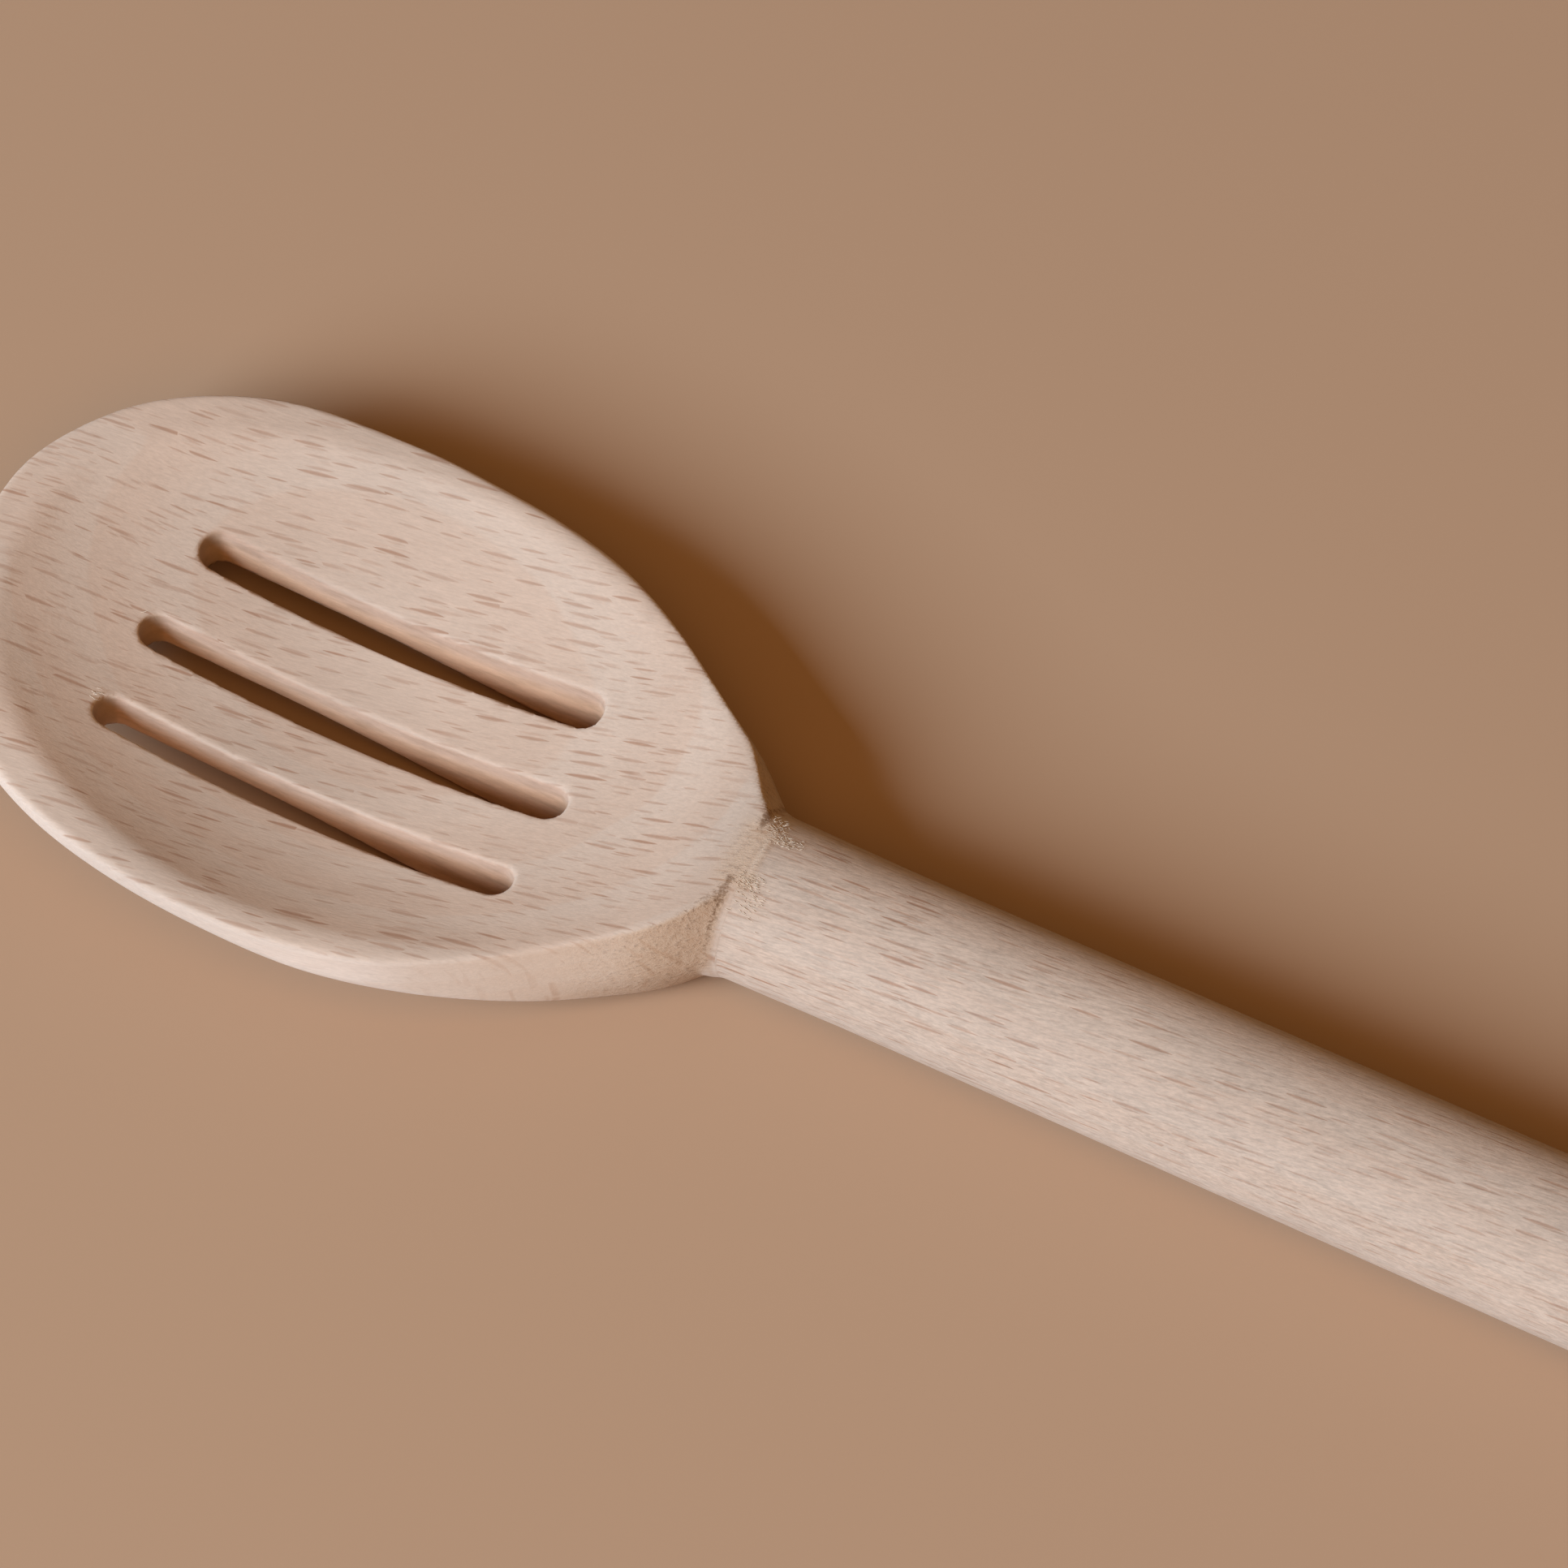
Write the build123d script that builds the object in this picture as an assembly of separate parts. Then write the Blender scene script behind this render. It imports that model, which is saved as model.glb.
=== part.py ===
from build123d import *
from math import acos, cos, degrees, pi, sin
import os

# Slotted wooden spoon, cut and turned from one blank of beech, hollow side up.
# Millimetres. While it is modelled, X runs along the axis of the handle, away from the bowl, and zero is
# the neck, where the handle meets the shoulder of the bowl. At the end the spoon is moved so that it lies
# on Z = 0 with the middle of its length over the origin.

# Handle, turned round, with a ball end
HANDLE_LENGTH = 208.3
NECK_RADIUS = 9.05
WAIST_RADIUS = 8.85
WAIST_PLACE = 15.0
GRIP_RADIUS = 9.1
GRIP_PLACE = 95.0

# Bowl, seen from above
BOWL_LENGTH = 91.7
BOWL_WIDTH = 61.8
WIDEST_PLACE_SHARE = 0.556

# Bowl, seen from the side: heights over the axis of the handle
RIM_HEIGHT_NECK = 5.4
RIM_HEIGHT_MIDDLE = 5.1
RIM_HEIGHT_TIP = 5.8
BELLY_DEPTH = 9.1
COVE_RADIUS = 3.7

# Half the width of the oval that rounds the tip, as a share of half the bowl's
TIP_SPREAD_SHARE = 1.133

# Shoulder that the turning leaves round the neck, and how far inside the widest line it ends
SHOULDER_LENGTH = 31.0
SHOULDER_INSET = 2.0

# Hollow: its lowest point over the axis of the handle, and the lip left round it
HOLLOW_FLOOR = -1.7
LIP_NECK = 7.1
LIP_TIP = 4.8
LIP_SIDE = 2.8

# Slots
SLOT_WIDTH = 4.2
SLOT_PITCH = 11.4
SLOT_LENGTH_MIDDLE = 50.5
SLOT_LENGTH_SIDE = 48.5

# Softened edges
RIM_ROUND = 1.1
HOLLOW_ROUND = 1.0

# One overrun for every cut
OVERRUN = 10.0

half_width = BOWL_WIDTH / 2
high = RIM_HEIGHT_TIP + OVERRUN
widest_place = WIDEST_PLACE_SHARE * BOWL_LENGTH
tip_spread = TIP_SPREAD_SHARE * half_width
hollow_place = (BOWL_LENGTH + LIP_NECK - LIP_TIP) / 2

# Where the bowl is measured, as shares of its length from the neck, and what it measures there: half
# its width as a share of the widest, the level of its widest line as a share of the rim's height, and
# its depth under the axis as a share of the deepest.
STATION_SHARES = [
    (-0.03, 0.52, 0.00, 1.00),
    (0.06, 0.61, 0.05, 1.00),
    (0.15, 0.71, 0.12, 1.00),
    (0.24, 0.81, 0.25, 1.00),
    (0.34, 0.917, 0.42, 0.96),
    (0.44, 0.98, 0.52, 0.82),
    (0.556, 1.000, 0.58, 0.66),
    (0.67, 0.976, 0.62, 0.575),
    (0.77, 0.910, 0.66, 0.51),
    (0.85, 0.800, 0.70, 0.41),
    (0.91, 0.665, 0.72, 0.265),
    (0.955, 0.510, 0.74, 0.09),
    (1.000, 0.300, 0.75, -0.26),
]

# The side of the shoulder, as shares of its length and of its flare from the neck
SHOULDER_SHARES = [(0.16, 0.20), (0.31, 0.38), (0.60, 0.67)]


def section(place_share, width_share, level_share, depth_share):
    """Closed cross-section of the blank: half an ellipse below, straight walls above."""
    x = -place_share * BOWL_LENGTH
    a = width_share * half_width
    level = level_share * RIM_HEIGHT_NECK
    low = -depth_share * BELLY_DEPTH
    plane = Plane(origin=(x, 0, 0), x_dir=(0, 1, 0), z_dir=(1, 0, 0))
    left = EllipticalCenterArc((0, level), a, level - low, start_angle=180, arc_size=90)
    right = EllipticalCenterArc((0, level), a, level - low, start_angle=270, arc_size=90)
    walls = Polyline((a, level), (a, high), (-a, high), (-a, level))
    return plane * make_face(left + right + walls)


# The blank of the bowl, rounded at its tip
blank = loft([section(*row) for row in reversed(STATION_SHARES)])
tip_face = make_face(
    EllipticalCenterArc(
        (-widest_place, 0), BOWL_LENGTH - widest_place, tip_spread, start_angle=90, arc_size=180
    )
    + Polyline(
        (-widest_place, -tip_spread), (OVERRUN, -tip_spread), (OVERRUN, tip_spread), (-widest_place, tip_spread)
    )
)
bowl = blank & extrude(tip_face, amount=high + BELLY_DEPTH, both=True)

# The top, dressed nearly flat, with a cove up to the handle, and its rim eased
cove_top = RIM_HEIGHT_NECK + COVE_RADIUS
far_x = -BOWL_LENGTH - OVERRUN
top_face = Plane.XZ * make_face(
    Line((far_x, RIM_HEIGHT_TIP), (-BOWL_LENGTH, RIM_HEIGHT_TIP))
    + Spline(
        (-BOWL_LENGTH, RIM_HEIGHT_TIP),
        (-hollow_place, RIM_HEIGHT_MIDDLE),
        (-COVE_RADIUS, RIM_HEIGHT_NECK),
        tangents=[(1, 0), (1, 0)],
    )
    + ThreePointArc(
        (-COVE_RADIUS, RIM_HEIGHT_NECK),
        (-COVE_RADIUS + COVE_RADIUS * sin(pi / 4), cove_top - COVE_RADIUS * cos(pi / 4)),
        (0, cove_top),
    )
    + Polyline((0, cove_top), (0, high + OVERRUN), (far_x, high + OVERRUN), (far_x, RIM_HEIGHT_TIP))
)
top_tool = extrude(top_face, amount=BOWL_WIDTH, both=True)
dressed = bowl - top_tool
rim = [e for e in new_edges(bowl, top_tool, combined=dressed) if e.bounding_box().min.X < -2 * COVE_RADIUS]
bowl = fillet(rim, RIM_ROUND)

# The hollow: an arc across the bowl, swung along it until it clears the rim. The lips set its bends.
half_long = (BOWL_LENGTH - LIP_NECK - LIP_TIP) / 2
half_cross = half_width - LIP_SIDE
depth_long = (RIM_HEIGHT_NECK + RIM_HEIGHT_TIP) / 2 - HOLLOW_FLOOR
depth_cross = RIM_HEIGHT_MIDDLE - HOLLOW_FLOOR
bend_long = (half_long**2 + depth_long**2) / (2 * depth_long)
bend_cross = (half_cross**2 + depth_cross**2) / (2 * depth_cross)
chord = bend_cross * sin(pi / 3)
chord_height = HOLLOW_FLOOR + bend_cross * (1 - cos(pi / 3))
hollow_plane = Plane(origin=(-hollow_place, 0, 0), x_dir=(0, 1, 0), z_dir=(1, 0, 0))
hollow_face = hollow_plane * make_face(
    ThreePointArc((-chord, chord_height), (0, HOLLOW_FLOOR), (chord, chord_height))
    + Line((chord, chord_height), (-chord, chord_height))
)
swing = Axis((-hollow_place, 0, HOLLOW_FLOOR + bend_long), (0, 1, 0))
hollow_turn = degrees(acos(1 - (RIM_HEIGHT_TIP + RIM_ROUND - HOLLOW_FLOOR) / bend_long))
hollow = revolve(hollow_face.rotate(swing, -hollow_turn), swing, revolution_arc=2 * hollow_turn)
dished = bowl - hollow
bowl = fillet(new_edges(bowl, hollow, combined=dished), HOLLOW_ROUND)

# The slots, cut straight down
slot_low = -BELLY_DEPTH - OVERRUN
slots = [
    extrude(Pos(-hollow_place, place, slot_low) * SlotOverall(length, SLOT_WIDTH), amount=high + OVERRUN - slot_low)
    for place, length in (
        (-SLOT_PITCH, SLOT_LENGTH_SIDE),
        (0, SLOT_LENGTH_MIDDLE),
        (SLOT_PITCH, SLOT_LENGTH_SIDE),
    )
]
bowl = bowl - slots

# The shoulder, turned round the neck
shoulder_radius = half_width - SHOULDER_INSET
flare = shoulder_radius - NECK_RADIUS
shoulder_points = [(-x * SHOULDER_LENGTH, NECK_RADIUS + y * flare) for x, y in SHOULDER_SHARES]
run_out = (-SHOULDER_LENGTH - BOWL_LENGTH, shoulder_radius + BOWL_LENGTH * flare / SHOULDER_LENGTH)
shoulder_face = make_face(
    Spline((0, NECK_RADIUS), *shoulder_points, (-SHOULDER_LENGTH, shoulder_radius))
    + Polyline((-SHOULDER_LENGTH, shoulder_radius), run_out, (run_out[0], 0), (0, 0), (0, NECK_RADIUS))
)
bowl = bowl & revolve(shoulder_face, Axis.X)

# The handle, turned, with a core that runs on into the bowl
grip_end = HANDLE_LENGTH - GRIP_RADIUS
handle_face = make_face(
    Polyline(
        (HANDLE_LENGTH, 0),
        (-OVERRUN, 0),
        (-OVERRUN, NECK_RADIUS / 2),
        (0, NECK_RADIUS / 2),
        (0, NECK_RADIUS),
        (WAIST_PLACE, WAIST_RADIUS),
        (GRIP_PLACE, GRIP_RADIUS),
        (grip_end, GRIP_RADIUS),
    )
    + CenterArc((grip_end, 0), GRIP_RADIUS, start_angle=0, arc_size=90)
)
handle = revolve(handle_face, Axis.X)
spoon = bowl + handle

spoon = Pos(-(HANDLE_LENGTH - BOWL_LENGTH) / 2, 0, -spoon.bounding_box().min.Z) * spoon
spoon.label = "spoon"
os.makedirs("parts", exist_ok=True)
export_step(spoon, "parts/spoon.step")
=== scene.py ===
"""Slotted beech spoon on a plain pale floor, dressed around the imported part.

The spoon is modelled in millimetres from the neck, with X along the handle, and written to its mesh in
metres in the part's own frame. Its surface is one closed skin on a field of distances, its fine relief and
its torn fibres are Geometry Nodes, and its beech is a procedural material in object coordinates.
"""

import logging
import math
from dataclasses import dataclass, field
from enum import Enum

import bpy
import numpy as np
from mathutils import Color, Matrix, Vector


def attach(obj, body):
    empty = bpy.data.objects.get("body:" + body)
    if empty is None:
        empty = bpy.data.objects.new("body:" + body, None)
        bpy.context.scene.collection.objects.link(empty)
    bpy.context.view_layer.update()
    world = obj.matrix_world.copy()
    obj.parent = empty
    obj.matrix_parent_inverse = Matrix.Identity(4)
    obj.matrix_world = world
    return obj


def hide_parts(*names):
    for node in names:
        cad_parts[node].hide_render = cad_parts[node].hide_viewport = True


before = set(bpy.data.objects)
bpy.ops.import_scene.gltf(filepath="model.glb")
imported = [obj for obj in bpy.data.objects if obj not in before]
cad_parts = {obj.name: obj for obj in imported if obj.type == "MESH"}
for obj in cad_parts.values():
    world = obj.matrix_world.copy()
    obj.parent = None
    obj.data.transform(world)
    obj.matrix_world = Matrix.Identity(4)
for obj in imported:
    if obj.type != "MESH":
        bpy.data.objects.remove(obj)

Array = np.ndarray
Places = tuple[Array, Array, Array]
Triple = tuple[float, float, float]
Rgb = Triple
Span = tuple[float, float]
Rows = tuple[tuple[float, ...], ...]
Socket = bpy.types.NodeSocket
Sockets = bpy.types.NodeOutputs
Tree = bpy.types.NodeTree
Thing = bpy.types.Object
Material = bpy.types.Material

LOG = logging.getLogger("spoon")
MM = 0.001
TINY = 1e-9

# What the figure of the wood reads from the mesh, and the colours that a finish gives it, with painted shade
# and painted warm bounced light on the slot walls
MASKS = ("torn", "soil", "crosscut", "milled", "deep", "radial")
COLOURS = ("early", "late", "silver", "ray", "crosscut", "soil", "milled", "deep")


def linear(*display: int) -> Rgb:
    """Turn a display colour of 0 to 255 into linear light."""
    return tuple(Color([value / 255 for value in display]).from_srgb_to_scene_linear())


def soft_max(a: Array, b: Array, reach: float | Array) -> Array:
    """Join two fields by their greater value, with a rounded edge.

    Args:
        a: First field of distances.
        b: Second field of distances.
        reach: How far from the edge the rounding starts, in millimetres.

    Returns:
        The rounded maximum.
    """
    blend = np.maximum(reach - np.abs(a - b), 0) / reach
    return np.maximum(a, b) + blend * blend * reach / 4


def ramp(values: Array, start: float, end: float) -> Array:
    """Smooth step from 0 at start to 1 at end."""
    share = np.clip((values - start) / (end - start), 0, 1)
    return share * share * (3 - 2 * share)


def added(name: str, data: bpy.types.ID) -> Thing:
    """Make an object of the given data.

    Args:
        name: Its name.
        data: Its mesh, lamp or camera.

    Returns:
        The object, in the scene.
    """
    thing = bpy.data.objects.new(name, data)
    bpy.context.scene.collection.objects.link(thing)
    return thing


class Tone(Enum):
    """Which beech a piece wears."""

    SANDED = "sanded"
    FRAYED = "frayed"


class SmoothTable:
    """Natural cubic curve through a table of places and values."""

    def __init__(self, rows: list[tuple[float, float]]) -> None:
        """Fit the curve.

        Args:
            rows: Pairs of place and value.
        """
        ordered = sorted(rows)
        self.x = np.array([row[0] for row in ordered])
        self.y = np.array([row[1] for row in ordered])
        count = len(ordered)
        gap = np.diff(self.x)
        slope = np.diff(self.y) / gap
        matrix = np.eye(count)
        right = np.zeros(count)
        for i in range(1, count - 1):
            matrix[i, i - 1 : i + 2] = gap[i - 1], 2 * (gap[i - 1] + gap[i]), gap[i]
            right[i] = 6 * (slope[i] - slope[i - 1])
        self.bend = np.linalg.solve(matrix, right)

    def __call__(self, at: Array) -> Array:
        """Read the curve.

        Args:
            at: The places.

        Returns:
            The values there.
        """
        at = np.clip(at, self.x[0], self.x[-1])
        i = np.clip(np.searchsorted(self.x, at) - 1, 0, len(self.x) - 2)
        gap = self.x[i + 1] - self.x[i]
        left = (self.x[i + 1] - at) / gap
        right = (at - self.x[i]) / gap
        curve = (left**3 - left) * self.bend[i] + (right**3 - right) * self.bend[i + 1]
        return left * self.y[i] + right * self.y[i + 1] + curve * gap * gap / 6


@dataclass(frozen=True)
class Region:
    """An amount that fades in over a soft region of the spoon.

    A span holds two distances the way that it is named for. The amount starts at the first and is full at
    the second. The ways are those from the neck, from the axis and from the middle line.
    """

    amount: float = 1.0
    neckward: Span | None = None
    tipward: Span | None = None
    far: Span | None = None
    near: Span | None = None
    up: Span | None = None
    down: Span | None = None
    inward: Span | None = None
    outward: Span | None = None

    def read(self, at: Places) -> Array:
        """Read the amount.

        Args:
            at: The x, y and z of the places.

        Returns:
            The amount at each place, down to 0 outside the region.
        """
        x, y, z = at
        aside = np.abs(y)
        ways = (
            (self.neckward, x),
            (self.tipward, -x),
            (self.far, y),
            (self.near, -y),
            (self.up, z),
            (self.down, -z),
            (self.inward, -aside),
            (self.outward, aside),
        )
        total = np.full(x.shape, self.amount)
        for span, values in ways:
            if span is not None:
                total *= ramp(values, *span)
        return total


@dataclass
class SpoonForm:
    """Sizes of the spoon, in millimetres from the neck, and the skin that they make."""

    handle_length: float = 208.3
    neck_radius: float = 9.05
    waist_radius: float = 8.85
    waist_place: float = 15.0
    grip_radius: float = 9.1
    grip_place: float = 95.0
    neck_join: float = 1.0
    neck_fall: float = 0.8
    bowl_length: float = 91.7
    half_width: float = 30.65
    widest_place: float = 51.0
    tip_spread: float = 35.0
    rim_neck: float = 5.4
    rim_middle: float = 5.1
    rim_tip: float = 5.8
    rim_rise: float = 0.1
    belly_depth: float = 9.1
    shoulder_length: float = 31.0
    shoulder_radius: float = 28.9
    flare_slant: float = 1.24
    hollow_place: float = 47.0
    hollow_floor: float = -1.7
    bend_long: float = 112.7
    bend_cross: float = 61.5
    slot_width: float = 4.2
    slots: tuple[Triple, ...] = ((-11.4, -46.6, 49.3), (0.0, -46.9, 50.6), (11.4, -47.2, 47.9))

    # Where this spoon departs from an even one
    tip_skew: Region = Region(1.0, tipward=(42.0, 80.0))
    tip_swell: Region = Region(1.1, tipward=(72.0, 86.0), far=(-2.0, 14.0))
    far_swell: Region = Region(0.75, tipward=(56.0, 74.0), far=(-6.0, 22.0))
    near_swell: Region = Region(
        0.5, neckward=(-50.0, -36.0), tipward=(12.0, 26.0), near=(4.0, 16.0), down=(-4.5, 0.0)
    )
    under_slim: Region = Region(0.7, neckward=(-16.0, -5.0), tipward=(0.0, 1.5), down=(-1.0, 5.0))
    saddle_end: float = 1.0

    # Rounded edges
    rim_round: float = 0.8
    far_round: Region = Region(0.9, neckward=(-56.0, -42.0), tipward=(12.0, 24.0), far=(8.0, 16.0))
    lip_round: float = 0.4
    near_lip: Region = Region(0.2, tipward=(12.0, 30.0), near=(4.0, 14.0))
    slot_round: float = 0.48
    crisp_share: float = 0.45
    worn_side: Span = (0.3, 1.6)
    worn_full: float = 18.0
    crest_round: float = 0.35
    saddle_round: Region = Region(0.5, up=(5.6, 7.6), inward=(-7.5, -4.0))
    belly_round: float = 2.2

    # The chip out of the crest of the far shoulder
    break_point: Triple = (-4.71, 10.55, 7.2)
    break_normal: Triple = (0.703, 0.569, 0.428)
    break_turn: float = -2.0
    break_bend: float = 0.3
    let_go: float = 4.0

    # How it lies in the part's frame
    rest_gap: float = 0.04
    rest_round: float = 0.3
    lift: float = 9.116
    shift: float = -58.3

    # The lattice that the skin is drawn on
    cell: float = 0.43
    grip_cell: float = 2.2
    ball_cell: float = 0.8
    ball_long: float = 12.0
    ball_margin: float = 1.5
    margin: float = 2.0
    fine_end: float = 8.0
    widening: Span = (0.5, 1.2)
    passes: int = 3
    step: float = 0.04
    flank_step: float = 0.1
    least_slope: float = 0.004
    least_square: float = 0.25
    least_size: float = 0.05

    # Where the wood is torn, soiled or cut by the mill, where shade is painted on the seam at the neck and on
    # the slot walls, and where the crease at the neck is darker
    torn_shoulder: Region = Region(neckward=(-15.0, -7.0), tipward=(-3.0, 0.0))
    torn_top: Region = Region(up=(4.0, 6.5))
    torn_edge: Region = Region(neckward=(-5.5, -2.0), tipward=(-0.5, 0.6))
    # Torn fibres along the seam of the saddle, partly painted shade over the highlight of its crest
    torn_and_shaded_seam: Region = Region(neckward=(-4.0, -0.5), tipward=(-2.2, -1.2), up=(4.0, 6.5), inward=(-5.5, -3.0))
    # A thin darker line along the crease where the shoulder meets the handle
    darker_crease: Region = Region(up=(0.0, 4.0), outward=(2.6, 4.0))
    bowl_side: Region = Region(tipward=(3.0, 9.0))
    slot_side: Region = Region(neckward=(-90.0, -80.0))
    edge_widths: Span = (0.9, 1.2)
    corner_place: float = -0.5
    corner_width: float = 0.16
    saddle_torn: float = 0.6
    edge_torn: float = 0.3
    edge_soil: float = 0.6
    crease_darkening: float = 0.8
    # The slot walls, where shade is painted, and how far down them the painted warm bounced light reaches
    wall_near: Span = (-0.5, -0.1)
    wall_start: Span = (0.0, 0.4)
    wall_deep: Span = (0.8, 3.2)

    # How far the skin leans there: ahead, sideways, down and up
    cut_lean: Span = (0.3, 0.62)
    side_lean: Span = (0.64, 0.92)
    under_lean: Span = (0.15, 0.45)
    fray_lean: Span = (0.25, 0.7)
    whisker_lean: Span = (0.3, 0.8)

    # The dressed top: where it is part tip or part neck, what share of it, and its climb to the handle
    overrun: float = 10.0
    tip_blend: Span = (-69.0, 0.48)
    neck_blend: Span = (-25.0, 0.5)
    climb: tuple[Span, ...] = ((-16.0, 5.7), (-11.0, 6.3), (-6.65, 7.0), (-2.0, 7.9), (1.0, 8.9), (2.5, 9.5))
    # Share of the bowl's length, of its half width, of the rim's height and of its depth
    stations: Rows = (
        (-0.03, 0.52, 0.00, 1.00),
        (0.06, 0.61, 0.05, 1.00),
        (0.15, 0.71, 0.12, 1.00),
        (0.24, 0.81, 0.25, 1.00),
        (0.34, 0.917, 0.42, 0.96),
        (0.44, 0.98, 0.52, 0.82),
        (0.556, 1.000, 0.58, 0.66),
        (0.67, 0.976, 0.62, 0.575),
        (0.77, 0.910, 0.66, 0.51),
        (0.85, 0.800, 0.70, 0.41),
        (0.91, 0.665, 0.72, 0.265),
        (0.955, 0.510, 0.74, 0.09),
        (1.000, 0.300, 0.75, -0.26),
    )
    # Along, across, half length, half width and strength of each torn patch
    saddle_tears: Rows = (
        (2.5, 2.5, 1.7, 0.8, 1.0),
        (1.0, 4.2, 1.2, 1.2, 0.8),
        (1.6, -3.2, 1.5, 0.9, 1.0),
        (2.6, -5.2, 1.9, 1.3, 0.6),
        (0.3, -3.1, 0.6, 0.6, 0.7),
    )
    slot_tears: Rows = ((-71.9, -10.2, 0.7, 0.8, 1.0), (-72.6, 0.6, 0.5, 0.6, 0.6))
    # Share of the shoulder's length and of its flare
    shoulder_shares: tuple[Span, ...] = ((0.16, 0.22), (0.31, 0.37), (0.60, 0.665))

    def __post_init__(self) -> None:
        """Fit the curves that the sizes give."""
        places = [-row[0] * self.bowl_length for row in self.stations]
        self.width, self.level, self.low = (
            SmoothTable([(x, row[column] * size) for x, row in zip(places, self.stations)])
            for column, size in ((1, self.half_width), (2, self.rim_neck), (3, -self.belly_depth))
        )
        rows = [
            (-self.bowl_length - self.overrun, self.rim_tip + self.rim_rise),
            (-self.bowl_length, self.rim_tip),
            (-self.hollow_place, self.rim_middle),
            *self.climb,
        ]
        for height, (place, share) in ((self.rim_tip, self.tip_blend), (self.rim_neck, self.neck_blend)):
            rows.append((place, height * share + self.rim_middle * (1 - share)))
        self.top = SmoothTable(rows)
        flare = self.shoulder_radius - self.neck_radius
        rows = [(0.0, self.neck_radius), (-self.shoulder_length, self.shoulder_radius)]
        rows += [(-x * self.shoulder_length, self.neck_radius + y * flare) for x, y in self.shoulder_shares]
        self.shoulder = SmoothTable(rows)
        self.flare_slope = flare / self.shoulder_length

    def side(self, at: Places) -> Array:
        """Distance outside the bowl's flank: half an ellipse below, straight walls above.

        Args:
            at: The x, y and z of the places.

        Returns:
            Millimetres.
        """

        def ellipse(x: Array, y: Array, z: Array) -> Array:
            """Shares of the ellipse's size, 0 on the flank."""
            down = np.minimum(z - self.level(x), 0) / (self.level(x) - self.low(x))
            return np.hypot(y / self.width(x), down) - 1

        here = ellipse(*at)
        squares = 0.0
        for axis in range(3):
            moved = [values + self.flank_step * (axis == n) for n, values in enumerate(at)]
            squares = squares + ((ellipse(*moved) - here) / self.flank_step) ** 2
        return here / np.maximum(np.sqrt(squares), self.least_slope)

    def tip(self, at: Places) -> Array:
        """Distance outside the oval that rounds the tip, seen from above.

        Args:
            at: The x, y and z of the places.

        Returns:
            Millimetres.
        """
        long = self.bowl_length - self.widest_place
        u = np.minimum(at[0] + self.widest_place, 0) / long
        v = at[1] / self.tip_spread
        size = np.maximum(np.hypot(u, v), self.least_size)
        slope = np.hypot(u / long, v / self.tip_spread) / size
        return (size - 1) / np.maximum(slope, self.least_slope)

    def turned(self, at: Places) -> Array:
        """Distance outside the turned form: the handle, its ball end and the shoulder.

        Args:
            at: The x, y and z of the places.

        Returns:
            Millimetres.
        """
        x, y, z = at
        radii = (self.neck_radius, self.waist_radius, self.grip_radius)
        grip = np.interp(x, (0.0, self.waist_place, self.grip_place), radii)
        beyond = np.maximum(-x - self.shoulder_length, 0)
        rise = self.shoulder(x) + beyond * self.flare_slope - np.maximum(x, 0) * self.neck_fall
        radius = soft_max(grip, rise - self.under_slim.read(at), self.neck_join)
        away = np.hypot(y, z)
        end = np.maximum(x - (self.handle_length - self.grip_radius), 0)
        ball = np.hypot(end, away) - self.grip_radius
        return np.where(end > 0, ball, (away - radius) / np.where(x < 0, self.flare_slant, 1.0))

    def facet(self, at: Places) -> Array:
        """Distance outside the plane that the cutter broke from the crest of the far shoulder.

        Args:
            at: The x, y and z of the places.

        Returns:
            Millimetres.
        """
        plane = sum((a - p) * n for a, p, n in zip(at, self.break_point, self.break_normal))
        plane = plane - self.break_bend * np.maximum(at[0] - self.break_turn, 0)
        return plane - self.let_go * np.maximum(at[0], 0)

    def hollow(self, at: Places) -> Array:
        """Distance outside the swung hollow.

        Args:
            at: The x, y and z of the places.

        Returns:
            Millimetres, negative in the air of the hollow.
        """
        x, y, z = at
        centre = self.hollow_floor + self.bend_long
        swung = centre - np.hypot(x + self.hollow_place, z - centre)
        return np.hypot(y, swung - self.hollow_floor - self.bend_cross) - self.bend_cross

    def slot(self, at: Places, across: float, middle: float, length: float) -> Array:
        """Distance outside one round-ended slot, seen from above."""
        beside = np.maximum(np.abs(at[0] - middle) - (length - self.slot_width) / 2, 0)
        return np.hypot(beside, at[1] - across) - self.slot_width / 2

    def distance(self, points: Array) -> Array:
        """Distance outside the spoon.

        Args:
            points: Array whose last axis is x, y and z in millimetres.

        Returns:
            Millimetres, negative inside the wood.
        """
        x, y, z = points[..., 0], points[..., 1], points[..., 2]
        at = (x, y, z)
        swollen = y - self.tip_skew.read(at) - self.far_swell.read(at) + self.near_swell.read(at)
        grown = (x + self.tip_swell.read(at), swollen, z)
        wood = soft_max(self.side(grown), self.tip(grown), self.belly_round)
        wood = soft_max(wood, z - self.top(x), self.rim_round + self.far_round.read(at))
        wood = soft_max(wood, -self.hollow(grown), self.lip_round + self.near_lip.read(at))
        wood = soft_max(wood, self.facet(at), self.crest_round)
        wood = wood - self.let_go * np.maximum(x - self.saddle_end, 0)
        wood = soft_max(wood, self.turned(at), self.crest_round + self.saddle_round.read(at))
        wood = soft_max(wood, -z - self.lift + self.rest_gap, self.rest_round)
        for across, middle, length in self.slots:
            worn = ramp(y - across, *self.worn_side) * ramp(x, middle - length / 2, middle - self.worn_full)
            reach = self.slot_round * (self.crisp_share + (1 - self.crisp_share) * worn)
            wood = soft_max(wood, -self.slot(at, across, middle, length), reach)
        return wood

    def gradient(self, points: Array) -> Array:
        """Slope of the distance, by central steps.

        Args:
            points: Array whose last axis is x, y and z in millimetres.

        Returns:
            The slope along x, y and z.
        """
        parts = []
        for move in np.eye(3) * self.step:
            parts.append((self.distance(points + move) - self.distance(points - move)) / (2 * self.step))
        return np.stack(parts, axis=-1)

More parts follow.
